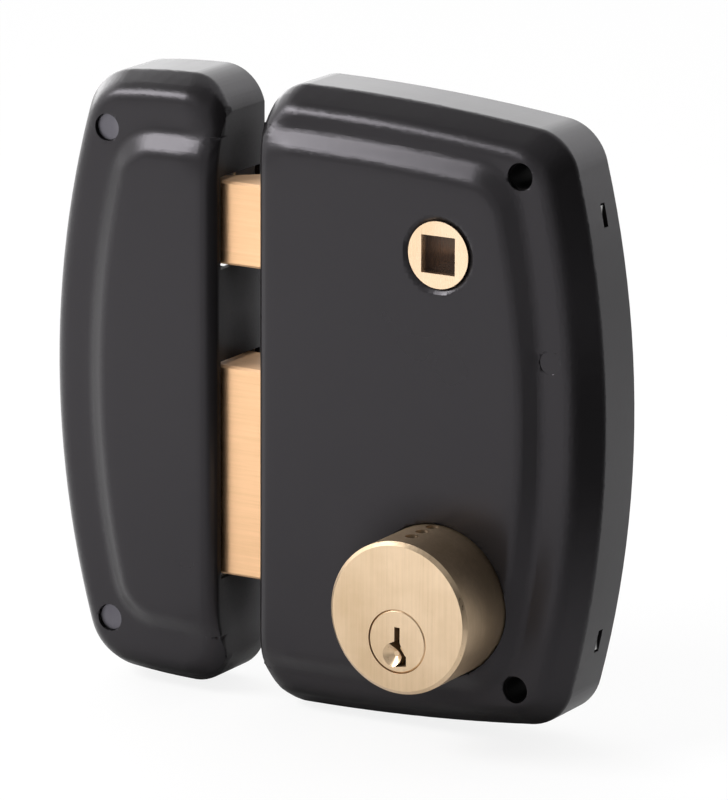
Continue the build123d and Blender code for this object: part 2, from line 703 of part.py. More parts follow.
def upright(y, radius, low, high):
    """Round bar along Z on the plug's middle plane."""
    return Pos(0, y, (low + high) / 2) * Cylinder(radius, high - low)


def cylinder_body():
    body = disc(0, CYLINDER_RISE, CYLINDER_RADIUS, CYLINDER_BACK, CYLINDER_FACE)
    body = chamfer(body.edges().group_by(Axis.Y)[0], CYLINDER_BEVEL)
    body -= disc(0, 0, PLUG_RADIUS + FIT, CYLINDER_BACK, CYLINDER_FACE)
    shoulder = CYLINDER_FACE + PLUG_HEAD_LENGTH + FIT
    body -= disc(0, 0, PLUG_HEAD + FIT, shoulder, CYLINDER_FACE)
    for y in pin_places():
        body -= upright(y, PIN_RADIUS + PIN_PLAY, 0, CYLINDER_TOP + 1)
    for side in (-1, 1):
        x = side * CYLINDER_SCREW_X
        body -= disc(x, CYLINDER_SCREW_Z, SCREW_RADIUS, CYLINDER_BACK, -SCREW_LENGTH - TOUCH)
    return body


def keyway():
    """Bent slot of the keyway, seen from the front, with a wide mouth low on its left side."""
    half = KEYWAY_WIDTH / 2
    return polygon((
        (-half, 3.1),
        (half, 3.1),
        (half, -0.2),
        (1.5 * half, -0.9),
        (half, -1.6),
        (3.4 * half, -3.0),
        (3.4 * half, -5.1),
        (-half, -5.6),
        (0.8 * half, -4.4),
        (1.2 * half, -3.4),
        (-half, -2.0),
        (-3.0 * half, -0.7),
        (-half, 0.0),
    ))


def cylinder_plug():
    plug = disc(0, 0, PLUG_RADIUS, CYLINDER_BACK, CYLINDER_FACE)
    plug += disc(0, 0, PLUG_HEAD, CYLINDER_FACE + PLUG_HEAD_LENGTH, CYLINDER_FACE)
    plug = chamfer(plug.edges().group_by(Axis.Y)[0], PLUG_EDGE)
    plug -= slab(keyway(), CYLINDER_BACK - KEYWAY_REAR, CYLINDER_FACE)
    guide = Pos(KEY_GUIDE_X, CYLINDER_FACE + KEY_GUIDE_DEPTH / 2, KEY_GUIDE_Z) * Rot(90, 0, 0)
    plug -= guide * Cone(KEY_GUIDE_TIP, KEY_GUIDE_RADIUS, KEY_GUIDE_DEPTH)
    for y in pin_places():
        plug -= upright(y, PIN_RADIUS + PIN_PLAY, 0, PLUG_HEAD)
    plug += slab(flatted_round(PLUG_TAIL, PLUG_TAIL_FLAT), -PLUG_TAIL_END, CYLINDER_BACK)
    plug -= slab(clip_groove(), clip_back(), clip_back() - CLIP_THICKNESS)
    slot = Rectangle(2 * PLUG_HEAD, DRIVE_SLOT)
    return plug - slab(slot, -PLUG_TAIL_END, -PLUG_TAIL_END - DRIVE_SLOT_DEPTH)


def flatted_round(radius, flat):
    return Circle(radius) & Rectangle(2 * flat, 2 * radius)


def clip_back():
    """Depth of the clip's rear face on the plug's tail."""
    return CYLINDER_BACK + CAM_THICKNESS + 2 * TOUCH + CLIP_THICKNESS


def clip_groove():
    return Circle(PLUG_HEAD) - Circle(CLIP_GROOVE)


def cam_clip():
    """Open ring in the groove behind the cam."""
    ring = Circle(CLIP_RADIUS) - Circle(CLIP_GROOVE)
    ring -= Pos(0, -CLIP_RADIUS) * Rectangle(CLIP_MOUTH, 2 * CLIP_RADIUS)
    return slab(ring, clip_back(), clip_back() - CLIP_THICKNESS)


def cylinder_cam():
    """Cam with the finger that moves the deadbolt's tail; at rest it leans to the thrown side."""
    finger = Pos(0, CAM_REACH / 2) * Rectangle(CAM_NECK, CAM_REACH)
    cam = finger + Pos(0, CAM_REACH) * Circle(CAM_TIP) + Circle(CAM_BOSS)
    cam = Rot(0, 0, CAM_TURN / 2) * cam
    cam -= flatted_round(PLUG_TAIL, PLUG_TAIL_FLAT)
    return slab(cam, CYLINDER_BACK + TOUCH + CAM_THICKNESS, CYLINDER_BACK + TOUCH)


def key_pins():
    """Pins inside the plug, each as long as its cut in the key asks, their tops at the shear line."""
    pins = []
    for y, point in zip(pin_places(), PIN_CUTS):
        tip = Pos(0, y, point + PIN_RADIUS / 2) * Cone(0.3 * PIN_RADIUS, PIN_RADIUS, PIN_RADIUS)
        pins.append(tip + upright(y, PIN_RADIUS, point + PIN_RADIUS, PIN_TOP))
    return Compound(pins)


def driver_pins():
    return Compound([upright(y, PIN_RADIUS, DRIVER_LOW, DRIVER_LOW + DRIVER_LENGTH) for y in pin_places()])


def pin_springs():
    springs = []
    low = DRIVER_LOW + DRIVER_LENGTH + PIN_SPRING_WIRE + PIN_AIR
    length = CAP_LOW - PIN_SPRING_WIRE - PIN_AIR - low
    mean = PIN_RADIUS - PIN_SPRING_WIRE
    for y in pin_places():
        springs.append(coil((0, y, low), (0, 0, 1), length, mean, PIN_SPRING_WIRE, PIN_SPRING_TURNS))
    return Compound(springs)


def chamber_caps():
    """Brass caps staked into the tops of the pin chambers, a little below the cylinder's surface."""
    caps = []
    for y in pin_places():
        cap = upright(y, PIN_RADIUS + PIN_PLAY, CAP_LOW, CAP_LOW + CHAMBER_CAP)
        caps.append(chamfer(cap.edges().group_by(Axis.Z)[-1], CAP_SINK / 2))
    return Compound(caps)


def screw_head(radius):
    """Countersunk head whose flat top lies in the door's plane."""
    height = radius - SCREW_RADIUS
    return Pos(0, -height / 2, 0) * Rot(90, 0, 0) * Cone(radius, SCREW_RADIUS, height)


def cylinder_screws():
    screws = []
    for side in (-1, 1):
        x = side * CYLINDER_SCREW_X
        screw = Pos(x, 0, CYLINDER_SCREW_Z) * screw_head(SCREW_HEAD)
        screw += disc(x, CYLINDER_SCREW_Z, SCREW_RADIUS, -TOUCH, -SCREW_LENGTH)
        slot = Pos(x, CYLINDER_SCREW_Z) * Rectangle(2 * SCREW_HEAD, SCREW_SLOT)
        screws.append(screw - slab(slot, 0, -SCREW_SLOT_DEPTH))
    return Compound(screws)


def keeper_cover():
    cover = cover_shell(KEEPER, Keep.BOTTOM)
    for side in (-1, 1):
        cover -= disc(KEEPER_POST_X, MIDDLE_Z + side * KEEPER_POST_Z, KEEPER_HOLE, 0, FRONT)
    for cutter in bolt_window((KEEPER_FACE - 2 * SHEET, KEEPER_FACE + 1), KEEPER_WINDOW_AIR):
        cover -= cutter
    return cover


def keeper_frame():
    """Steel strike inside the keeper: a wall with the bolts' windows and an open base flange."""
    wall_x = KEEPER_FACE - SHEET - FRAME_GAP
    inset = SHEET + SEAT
    corners = (KEEPER_STRAIGHT_CORNER - inset, KEEPER_BOWED_CORNER - inset)
    flange_face = KEEPER.face(inset, inset, SHEET + FRAME_GAP, corners)
    frame = slab(flange_face, 0, -FRAME_PLATE)
    half = KEEPER_HEIGHT / 2 - BEND_INSIDE
    wall_y = (RIM + SHEET + FOLD_ROUND, 0)
    frame += block((wall_x - FRAME_PLATE, wall_x), wall_y, (MIDDLE_Z - half, MIDDLE_Z + half))
    for cutter in bolt_window((wall_x - 2 * FRAME_PLATE, KEEPER_FACE), KEEPER_WINDOW_AIR):
        frame -= cutter
    opening_x = (KEEPER_FACE - KEEPER_WIDTH + SHEET + FRAME_BORDER, wall_x - FRAME_PLATE - FRAME_BORDER / 2)
    opening_half = KEEPER_POST_Z - KEEPER_POST_RADIUS - FRAME_BORDER
    frame -= block(opening_x, (-2 * FRAME_PLATE, 0), (MIDDLE_Z - opening_half, MIDDLE_Z + opening_half))
    for side in (-1, 1):
        frame -= disc(KEEPER_POST_X, MIDDLE_Z + side * KEEPER_POST_Z, KEEPER_POST_FOOT, 0, -FRAME_PLATE)
    return frame


def keeper_posts():
    """Posts riveted into the frame, threaded from the back; their plain ends show in the rim's holes."""
    posts = []
    for side in (-1, 1):
        place = (KEEPER_POST_X, MIDDLE_Z + side * KEEPER_POST_Z)
        post = disc(*place, KEEPER_POST_RADIUS, -FRAME_PLATE, RIM + SHEET)
        post = chamfer(post.edges().group_by(Axis.Y)[0], KEEPER_POST_EDGE)
        post += disc(*place, KEEPER_POST_FOOT, 0, -FRAME_PLATE)
        post += disc(*place, KEEPER_POST_END, RIM + SHEET, RIM + KEEPER_SINK)
        posts.append(post - disc(*place, KEEPER_THREAD, 0, -KEEPER_THREAD_DEPTH))
    return Compound(posts)


PIECES = {
    "lock_cover": lock_cover,
    "case_plate": case_plate,
    "fixing_tubes": fixing_tubes,
    "cover_post": cover_post,
    "latch_bolt": latch_bolt,
    "latch_tail": latch_tail,
    "latch_rivets": latch_rivets,
    "latch_guide_post": lambda: guide_post(LATCH_GUIDE_X, latch_guide_z()),
    "latch_spring": latch_spring,
    "spring_seat": spring_seat,
    "spindle_hub": spindle_hub,
    "deadbolt": deadbolt,
    "deadbolt_tail": deadbolt_tail,
    "deadbolt_rivets": deadbolt_rivets,
    "deadbolt_guide_post": lambda: guide_post(DEAD_GUIDE_X, DEAD_GUIDE_Z),
    "drag_spring": drag_spring,
    "drag_post": drag_post,
    "cylinder_body": cylinder_body,
    "cylinder_plug": cylinder_plug,
    "cylinder_cam": cylinder_cam,
    "cam_clip": cam_clip,
    "key_pins": key_pins,
    "driver_pins": driver_pins,
    "pin_springs": pin_springs,
    "chamber_caps": chamber_caps,
    "cylinder_screws": cylinder_screws,
    "keeper_cover": keeper_cover,
    "keeper_frame": keeper_frame,
    "keeper_posts": keeper_posts,
}

os.makedirs("parts", exist_ok=True)
for name, make in PIECES.items():
    export_step(make(), f"parts/{name}.step")

print(f"plug turns {CAM_TURN:.3f} degrees, deadbolt slides {DEADBOLT_TRAVEL} mm")
print(f"hub turns {ARM_TURN} degrees, latch slides {LATCH_TRAVEL} mm")
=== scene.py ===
"""Looks, light and camera for the rim lock and its keeper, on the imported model's own frame.

Lengths are in metres. X runs to the right along the door, Y into it and Z up.
"""

import json
from functools import partial, reduce
from math import radians

import bmesh
import bpy
import numpy as np
from mathutils import Matrix, Vector
from mathutils.bvhtree import BVHTree


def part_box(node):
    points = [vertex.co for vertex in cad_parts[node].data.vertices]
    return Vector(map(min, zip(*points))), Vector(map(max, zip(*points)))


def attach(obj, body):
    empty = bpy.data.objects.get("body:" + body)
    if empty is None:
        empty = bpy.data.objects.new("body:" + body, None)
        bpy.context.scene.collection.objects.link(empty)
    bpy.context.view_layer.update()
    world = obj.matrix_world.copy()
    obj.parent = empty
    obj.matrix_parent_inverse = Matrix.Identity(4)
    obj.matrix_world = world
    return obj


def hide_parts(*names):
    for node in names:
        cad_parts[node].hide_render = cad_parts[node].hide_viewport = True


# The photograph's camera, fitted to measured points of the lock.
AZIMUTH = radians(30.471)
ELEVATION = radians(14.199)
ROLL = radians(0.247)
DISTANCE = 1.35445
TARGET = Vector((-0.02647, -0.007, 0.04194))
LENS = 285.48
SENSOR_WIDTH = 36
FAR_CLIP = 20

# The one lamp, a softbox on the left that faces the middle of lock and keeper.
MIDDLE = Vector((-0.032, -0.012, 0.0427))
LAMP_DIRECTION = Vector((-0.6, -0.55, 0.62))
LAMP_DISTANCE = 0.9
LAMP_SIZE = (0.45, 0.28)
LAMP_POWER = 6.8

# The floor, and a dark cloth on it that is there for reflections and not for the camera.
FLOOR_Z = -0.0262
FLOOR_REACH = 6.0
FLOOR_COLOUR = (0.9, 0.9, 0.9)
FLOOR_GLOW = 0.85  # share of pure white in what the camera sees of the floor
CLOTH_COLOUR = (0.03, 0.03, 0.03)
CLOTH_MIDDLE = (0.52, -0.12, FLOOR_Z)
CLOTH_EDGE = (0.34, 0.5)

# Strength of the world along one axis: axis, start, stop, strength at each end.
WORLD_RAMPS = (
    ("X", -0.9, -0.45, 2.2, 1.0),
    ("X", 0.3, 0.85, 1.0, 0.06),
    ("Y", -0.2, 0.7, 0.72, 2.3),
    ("Z", 0.45, 0.8, 1.0, 0.5),
)
WHITE = (1, 1, 1, 1)

# Each cover, and the end of it along X that is straight, by the gap: 0 for low, 1 for high.
STRAIGHT_ENDS = {"lock_cover": 0, "keeper_cover": 1}

# How far the covers' folds are drawn out: across each fold, and along the gap near it.
FOLD_SPREAD = 0.0009
GAP_SPREAD = 0.003
GAP_ZONE = (0.002, 0.008)  # from the straight side, where the one spread passes into the other
MOST_MOVED = 0.003

# Depths where a cover starts to follow the soft shape and where it does so in full.
CREASE_DEPTHS = (-0.0145, -0.0175)  # away from the gap
GAP_DEPTHS = (-0.010, -0.015)  # at the gap

# The covers' front skin: its deepest place, and the dish round the hub that stays as it is.
SKIN_DEPTH = -0.0135
DISH_RADIUS = 0.0105
OUTWARD = -0.1  # a normal below this along Y looks out of the cover

# How finely the covers are measured and cut.
CELL = 0.0005
CUT = 0.0012
RAY_LEAD = 0.01
WELD = 1e-6
SHORT_EDGE = 0.00003
FLAT_ANGLE = radians(0.1)
SHARP_ANGLE = radians(38)

# The planes fitted to the measured heights.
BELL_REACH = 4  # spreads of the bell on each side
CENTIMETRES = 100  # to the metre, so that a plane's terms are of like size
RIDGE = 1e-9  # keeps a plane solvable where no height is known

# Painted shade: the enamel's reflection is dimmed in recesses, and the walls of the hub's hole are
# darkened from just behind its front face.
RECESS_REACH = 0.014
HOLE_MOUTH = -0.0218
HOLE_FADE = 0.002
HOLE_SHADE_COLOUR = (0.08, 0.05, 0.03, 1)

# How far the roughness of matt brass goes up and down.
MATT_RANGE = 0.05

# Where each finish goes.
WEARERS = {
    "case_enamel": ("lock_cover", "keeper_cover", "cover_post", "fixing_tubes"),
    "zinc_steel": ("case_plate", "keeper_frame", "latch_tail", "deadbolt_tail"),
    "grey_steel": ("keeper_posts",),
    "bright_steel": ("latch_rivets", "deadbolt_rivets", "latch_guide_post", "deadbolt_guide_post"),
    "spring_steel": ("latch_spring", "drag_spring", "pin_springs"),
    "dark_steel": (
        "chamber_caps",
        "cylinder_cam",
        "cam_clip",
        "cylinder_screws",
        "spring_seat",
        "drag_post",
    ),
    "bolt_brass": ("latch_bolt", "deadbolt"),
    "hub_brass": ("spindle_hub",),
    "cylinder_brass": ("cylinder_body", "cylinder_plug"),
    "pin_brass": ("key_pins", "driver_pins"),
}


class Nodes:
    """Shortcuts for building a node tree."""

    def __init__(self, tree):
        self.tree = tree

    def add(self, kind, **settings):
        node = self.tree.nodes.new(kind)
        for name, value in settings.items():
            setattr(node, name, value)
        return node

    def feed(self, value, target):
        """Join a socket to the target, or set the target to a constant."""
        if isinstance(value, bpy.types.NodeSocket):
            self.tree.links.new(value, target)
        else:
            target.default_value = value

    def span(self, source, low, high, start=0.3, stop=0.7, **settings):
        """Number that goes from low to high as the source goes from start to stop."""
        node = self.add("ShaderNodeMapRange", **settings)
        node.inputs["From Min"].default_value = start
        node.inputs["From Max"].default_value = stop
        node.inputs["To Min"].default_value = low
        node.inputs["To Max"].default_value = high
        self.feed(source, node.inputs["Value"])
        return node.outputs["Result"]

    def product(self, first, second):
        node = self.add("ShaderNodeMath", operation="MULTIPLY")
        self.feed(first, node.inputs[0])
        self.feed(second, node.inputs[1])
        return node.outputs["Value"]

    def mix(self, factor, first, second, **settings):
        """Two numbers or colours, the second of them in full where the factor is 1."""
        node = self.add("ShaderNodeMix", **settings)
        self.feed(factor, node.inputs["Factor"])
        self.feed(first, node.inputs["A"])
        self.feed(second, node.inputs["B"])
        return node.outputs["Result"]

    def mix_shaders(self, factor, first, second):
        """Two shaders, the second of them in full where the factor is 1."""
        node = self.add("ShaderNodeMixShader")
        self.feed(factor, node.inputs["Fac"])
        self.feed(first, node.inputs[1])
        self.feed(second, node.inputs[2])
        return node.outputs["Shader"]


class Finish(Nodes):
    """A material under construction: a shader, object coordinates and more shortcuts."""

    def __init__(self, name, colour, metallic, roughness):
        self.material = bpy.data.materials.new(name)
        self.material.use_nodes = True
        super().__init__(self.material.node_tree)
        self.shader = self.tree.nodes["Principled BSDF"]
        self.shader.inputs["Base Color"].default_value = (*colour, 1)
        self.shader.inputs["Metallic"].default_value = metallic
        self.shader.inputs["Roughness"].default_value = roughness
        self.place = self.add("ShaderNodeTexCoord").outputs["Object"]

    def noise(self, scale, detail=4.0, roughness=0.55, stretch=(1, 1, 1)):
        """Noise in metres, drawn out along the axes that have a small stretch value."""
        mapping = self.add("ShaderNodeMapping")
        mapping.inputs["Scale"].default_value = stretch
        texture = self.add("ShaderNodeTexNoise")
        texture.inputs["Scale"].default_value = scale
        texture.inputs["Detail"].default_value = detail
        texture.inputs["Roughness"].default_value = roughness
        self.feed(self.place, mapping.inputs["Vector"])
        self.feed(mapping.outputs["Vector"], texture.inputs["Vector"])
        return texture.outputs["Fac"]

    def shade(self, source, dark, light, start=0.3, stop=0.7):
        """Colour that goes from dark to light as the source goes from start to stop."""
        node = self.add("ShaderNodeValToRGB")
        for end, place, colour in zip(node.color_ramp.elements, (start, stop), (dark, light)):
            end.position = place
            end.color = (*colour, 1)
        self.feed(source, node.inputs["Fac"])
        return node.outputs["Color"]

    def paint(self, colour):
        self.feed(colour, self.shader.inputs["Base Color"])

    def roughen(self, source, low, high):
        self.feed(self.span(source, low, high), self.shader.inputs["Roughness"])

    def matt(self, axis, start, stop, rough, metallic):
        """Take a matt look where the normal along the axis goes from start to stop."""
        split = self.add("ShaderNodeSeparateXYZ")
        self.feed(self.add("ShaderNodeNewGeometry").outputs["Normal"], split.inputs["Vector"])
        size = self.add("ShaderNodeMath", operation="ABSOLUTE")
        self.feed(split.outputs[axis], size.inputs[0])
        amount = size.outputs["Value"]
        target = self.shader.inputs["Roughness"]
        share = self.span(amount, 0.0, 1.0, start, stop)
        self.feed(self.mix(share, target.links[0].from_socket, rough), target)
        self.feed(self.span(amount, 1.0, metallic, start, stop), self.shader.inputs["Metallic"])

    def bump(self, sources, distance, strength):
        """Stack one bump node per source, finest last."""
        normal = None
        for source in sources:
            node = self.add("ShaderNodeBump")
            node.inputs["Distance"].default_value = distance
            node.inputs["Strength"].default_value = strength
            self.feed(source, node.inputs["Height"])
            if normal:
                self.feed(normal, node.inputs["Normal"])
            normal = node.outputs["Normal"]
        self.feed(normal, self.shader.inputs["Normal"])


def enamel(name):
    """Baked dark enamel on pressed steel: nearly black, satin, with a fine peel, and painted shade
    that dims its reflection in recesses.
    """
    finish = Finish(name, (0.01, 0.009, 0.01), 0.0, 0.3)
    clouds = finish.noise(22, detail=3)
    finish.paint(finish.shade(clouds, (0.0085, 0.0078, 0.0084), (0.0115, 0.0106, 0.0112)))
    # painted shade: ambient occlusion turns the enamel's reflection down in recesses, gaps and
    # screw bores
    recess_shade = finish.add("ShaderNodeAmbientOcclusion", samples=8)
    recess_shade.inputs["Distance"].default_value = RECESS_REACH
    open_air = finish.span(recess_shade.outputs["AO"], 0.01, 0.33, 0.4, 0.85)
    finish.feed(open_air, finish.shader.inputs["Specular IOR Level"])
    finish.shader.inputs["Specular Tint"].default_value = (0.97, 0.92, 1.0, 1)
    finish.roughen(clouds, 0.27, 0.33)
    finish.bump([finish.noise(260, detail=2), finish.noise(900, detail=3)], 0.00004, 0.2)
    return finish.material


def paint_hole_shade(finish, colour):
    """The colour as it is on the front and the back, with painted shade on the walls of the hole.
    """
    split = finish.add("ShaderNodeSeparateXYZ")
    finish.feed(finish.place, split.inputs["Vector"])
    depth = split.outputs["Y"]
    front = finish.span(depth, 0.0, 1.0, HOLE_MOUTH, HOLE_MOUTH + HOLE_FADE)
    back = finish.span(depth, 1.0, 0.0, -2 * HOLE_FADE, -HOLE_FADE)
    inside = finish.product(front, back)
    # painted shade: the walls of the hole are multiplied down to a dark brown
    return finish.mix(inside, colour, HOLE_SHADE_COLOUR, data_type="RGBA", blend_type="MULTIPLY")


def brass(name, dark, light, rough, grain=(1, 1, 1), depth=0.25, hole=False, matt=None):
    """Brushed brass, with the grain along the axis that is short in the grain tuple.

    Matt is the axis and range of normals for which it is rougher and less metallic, and the
    roughness and metallic value it has there.
    """
    finish = Finish(name, light, 1.0, sum(rough) / 2)
    strokes = finish.noise(1500, detail=6, roughness=0.65, stretch=grain)
    tarnish = finish.shade(finish.noise(60, detail=4), dark, light)
    scratches = finish.shade(strokes, (0.72, 0.7, 0.66), (1, 1, 1))
    colour = finish.mix(0.5, tarnish, scratches, data_type="RGBA", blend_type="MULTIPLY")
    finish.paint(paint_hole_shade(finish, colour) if hole else colour)
    finish.roughen(strokes, *rough)
    if matt:
        axis, start, stop, middle, metallic = matt
        rougher = finish.span(strokes, middle - MATT_RANGE, middle + MATT_RANGE)
        finish.matt(axis, start, stop, rougher, metallic)
    finish.bump([strokes], 0.00003, depth)
    return finish.material


def steel(name, dark, light, rough, grain=(1, 1, 0.06)):
    """Plated or drawn steel with faint rolling marks and cloudy plating."""
    finish = Finish(name, light, 1.0, sum(rough) / 2)
    clouds = finish.noise(90, detail=5)
    marks = finish.noise(900, detail=4, stretch=grain)
    finish.paint(finish.shade(clouds, dark, light))
    finish.roughen(marks, *rough)
    finish.bump([clouds, marks], 0.00003, 0.2)
    return finish.material


def all_finishes():
    """One material for each finish of the record, and one for bright rivets and posts."""
    makers = {
        "case_enamel": enamel,
        "bolt_brass": partial(
            brass,
            dark=(0.77, 0.485, 0.275),
            light=(0.83, 0.52, 0.3),
            rough=(0.3, 0.36),
            grain=(0.03, 1, 1),
            depth=0.06,
            matt=("Z", 0.5, 0.8, 0.6, 0.1),
        ),
        "hub_brass": partial(
            brass,
            dark=(0.72, 0.53, 0.34),
            light=(0.85, 0.65, 0.47),
            rough=(0.2, 0.34),
            grain=(1, 1, 0.05),
            # painted shade on the walls of the spindle hole
            hole=True,
        ),
        "cylinder_brass": partial(
            brass,
            dark=(0.6, 0.44, 0.28),
            light=(0.77, 0.59, 0.41),
            rough=(0.26, 0.42),
            grain=(1, 1, 0.025),
            matt=("Y", 0.6, 0.2, 0.42, 0.97),
        ),
        "pin_brass": partial(
            brass, dark=(0.72, 0.5, 0.26), light=(0.86, 0.64, 0.36), rough=(0.25, 0.4)
        ),
        "zinc_steel": partial(
            steel, dark=(0.42, 0.42, 0.42), light=(0.56, 0.56, 0.55), rough=(0.28, 0.42)
        ),
        "spring_steel": partial(
            steel,
            dark=(0.3, 0.3, 0.31),
            light=(0.5, 0.5, 0.5),
            rough=(0.22, 0.35),
            grain=(1, 1, 1),
        ),
        "grey_steel": partial(
            steel, dark=(0.1, 0.095, 0.11), light=(0.13, 0.125, 0.14), rough=(0.35, 0.5)
        ),
        "dark_steel": partial(
            steel, dark=(0.06, 0.06, 0.065), light=(0.12, 0.12, 0.125), rough=(0.3, 0.45)
        ),
        "bright_steel": partial(
            steel, dark=(0.5, 0.5, 0.5), light=(0.68, 0.68, 0.67), rough=(0.22, 0.35)
        ),
    }
    return {name: make(name) for name, make in makers.items()}


def dress(nodes, materials):
    """Give every carried-over part its finish."""
    for finish, names in WEARERS.items():
        for name in names:
            data = nodes[name].data
            data.materials.clear()
            data.materials.append(materials[finish])


def blur(values, across, upward):
    """Weighted mean by a bell over each axis."""
    for axis, spread in ((0, across), (1, upward)):
        reach = int(BELL_REACH * spread / CELL) + 1
        steps = np.arange(-reach, reach + 1) * CELL
        bell = np.exp(-((steps / spread) ** 2) / 2)
        values = np.apply_along_axis(np.convolve, axis, values, bell / bell.sum(), "same")
    return values


def spread_out(heights, known, across, upward):
    """Heights of a plane fitted round each cell to the known heights, the nearest first.

    A fitted plane keeps straight slopes as they are right up to an edge.
    """
    cells = (np.arange(count) * CELL * CENTIMETRES for count in heights.shape)
    x, z = np.meshgrid(*cells, indexing="ij")
    terms = (np.ones_like(x), x - x.mean(), z - z.mean())
    weight = known.astype(float)
    filled = np.where(known, heights, 0.0)
    left = np.array([[blur(weight * a * b, across, upward) for b in terms] for a in terms])
    right = np.array([blur(weight * filled * a, across, upward) for a in terms])
    left = np.moveaxis(left, (0, 1), (-2, -1)) + RIDGE * np.eye(len(terms))
    plane = np.linalg.solve(left, np.moveaxis(right, 0, -1)[..., None])[..., 0]
    return plane[..., 0] + plane[..., 1] * terms[1] + plane[..., 2] * terms[2]


def height_map(mesh, low, high, hub):
    """Depth of the mesh's front skin over a grid in X and Z, and where there is a skin.

    Hub is a point on the hub's axis.
    """
    tree = BVHTree.FromBMesh(mesh)
    counts = [int((high[axis] - low[axis]) / CELL) + 2 for axis in (0, 2)]
    heights = np.zeros(counts)
    known = np.zeros(counts, bool)
    for i, k in np.ndindex(*counts):
        x, z = low[0] + i * CELL, low[2] + k * CELL
        point = tree.ray_cast(Vector((x, low[1] - RAY_LEAD, z)), Vector((0, 1, 0)))[0]
        dish = (x - hub[0]) ** 2 + (z - hub[2]) ** 2 < DISH_RADIUS**2
        if point and point.y < SKIN_DEPTH and not dish:
            heights[i, k] = point.y
            known[i, k] = True
    return heights, known


def soften(heights, known, near):
    """Depths of the soft skin, and how far each cell moves to reach them.

    Near is each column's distance from the straight side.
    """
    share = np.clip((near - GAP_ZONE[0]) / (GAP_ZONE[1] - GAP_ZONE[0]), 0, 1)[:, None]
    soft = share * spread_out(heights, known, FOLD_SPREAD, FOLD_SPREAD)
    soft += (1 - share) * spread_out(heights, known, CELL, GAP_SPREAD)
    change = np.where(known, soft - heights, 0.0)
    change = np.where(known, change, spread_out(change, known, CELL * 2, CELL * 2))
    return soft, np.clip(change, -MOST_MOVED, MOST_MOVED)


def divide(mesh, low, high):
    """Cut the cover along a grid in X and Z, so that it can follow a soft fold."""
    front = [face for face in mesh.faces if max(v.co.y for v in face.verts) < SKIN_DEPTH]
    edges = list({edge for face in front for edge in face.edges})
    verts = list({vert for face in front for vert in face.verts})
    bmesh.ops.dissolve_limit(mesh, angle_limit=FLAT_ANGLE, verts=verts, edges=edges)
    for axis in (0, 2):
        normal = [0, 0, 0]
        normal[axis] = 1
        for place in np.arange(low[axis] + CUT / 2, high[axis], CUT):
            faces = [face for face in mesh.faces if face.verts[0].co.y < GAP_DEPTHS[0]]
            parts = [*mesh.verts, *mesh.edges, *faces]
            point = [0, 0, 0]
            point[axis] = place
            bmesh.ops.bisect_plane(mesh, geom=parts, dist=WELD, plane_co=point, plane_no=normal)


def sample(values, column, row):
    """Value between the four cells round a place on the grid."""
    i, k = int(column), int(row)
    u, v = column - i, row - k
    patch = values[i : i + 2, k : k + 2]
    low, high = (1 - v) * patch[:, 0] + v * patch[:, 1]
    return (1 - u) * low + u * high


def press(mesh, low, straight, soft, change):
    """Move the front of the mesh along Y: by the change, and near the gap onto the soft skin."""
    for vert in mesh.verts:
        away = min(abs(vert.co.x - straight) / GAP_ZONE[1], 1)
        start, full = (
            gap + away * (crease - gap) for gap, crease in zip(GAP_DEPTHS, CREASE_DEPTHS)
        )
        depth = (vert.co.y - start) / (full - start)
        if depth <= 0:
            continue
        place = ((vert.co.x - low[0]) / CELL, (vert.co.z - low[2]) / CELL)
        if vert.normal.y < OUTWARD and away < 1:
            move = np.clip(sample(soft, *place) - vert.co.y, -MOST_MOVED, MOST_MOVED)
        else:
            move = sample(change, *place)
        vert.co.y = max(low[1], vert.co.y + move * min(depth, 1))


def soft_mesh(source, name, end, hub):
    """The cover's mesh with its folds drawn out softly, as the press leaves them."""
    low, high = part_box(name)
    straight = (low, high)[end][0]
    mesh = bmesh.new()
    mesh.from_mesh(source)
    bmesh.ops.remove_doubles(mesh, verts=mesh.verts[:], dist=WELD)
    heights, known = height_map(mesh, low, high, hub)
    near = np.abs(low[0] + np.arange(heights.shape[0]) * CELL - straight)
    soft, change = soften(heights, known, near)
    divide(mesh, low, high)
    mesh.normal_update()
    press(mesh, low, straight, soft, change)
    by_gap = [edge for edge in mesh.edges if abs(edge.verts[0].co.x - straight) < GAP_ZONE[1]]
    bmesh.ops.dissolve_degenerate(mesh, dist=SHORT_EDGE, edges=by_gap)
    return mesh


def soft_cover(frame, name, end, material):
    """Show the cover by its soft mesh."""
    hub = next(joint["pos_m"] for joint in frame["joints"] if joint["name"] == "hub_turn")
    mesh = soft_mesh(frame["nodes"][name].data, name, end, hub)
    data = bpy.data.meshes.new(f"{name}_pressed")
    mesh.to_mesh(data)
    mesh.free()
    data.shade_smooth()
    data.set_sharp_from_angle(angle=SHARP_ANGLE)
    data.materials.append(material)
    cover = bpy.data.objects.new(f"{name}_pressed", data)
    bpy.context.collection.objects.link(cover)
    flats = cover.modifiers.new("flats", "WEIGHTED_NORMAL")
    flats.keep_sharp = True
    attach(cover, "case")
    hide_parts(name)


def add_camera():
    """The photograph's view."""
    around = Matrix.Rotation(AZIMUTH, 3, "Z")
    back = around @ Matrix.Rotation(-ELEVATION, 3, "X") @ Vector((0, -1, 0))
    right = around @ Vector((1, 0, 0))
    turn = Matrix.Rotation(ROLL, 3, back)
    axes = Matrix((turn @ right, turn @ back.cross(right), back)).transposed()
    data = bpy.data.cameras.new("camera")
    data.lens = LENS
    data.sensor_width = SENSOR_WIDTH
    data.clip_end = FAR_CLIP
    camera = bpy.data.objects.new("camera", data)
    camera.matrix_world = Matrix.Translation(TARGET + back * DISTANCE) @ axes.to_4x4()
    bpy.context.collection.objects.link(camera)
    bpy.context.scene.camera = camera


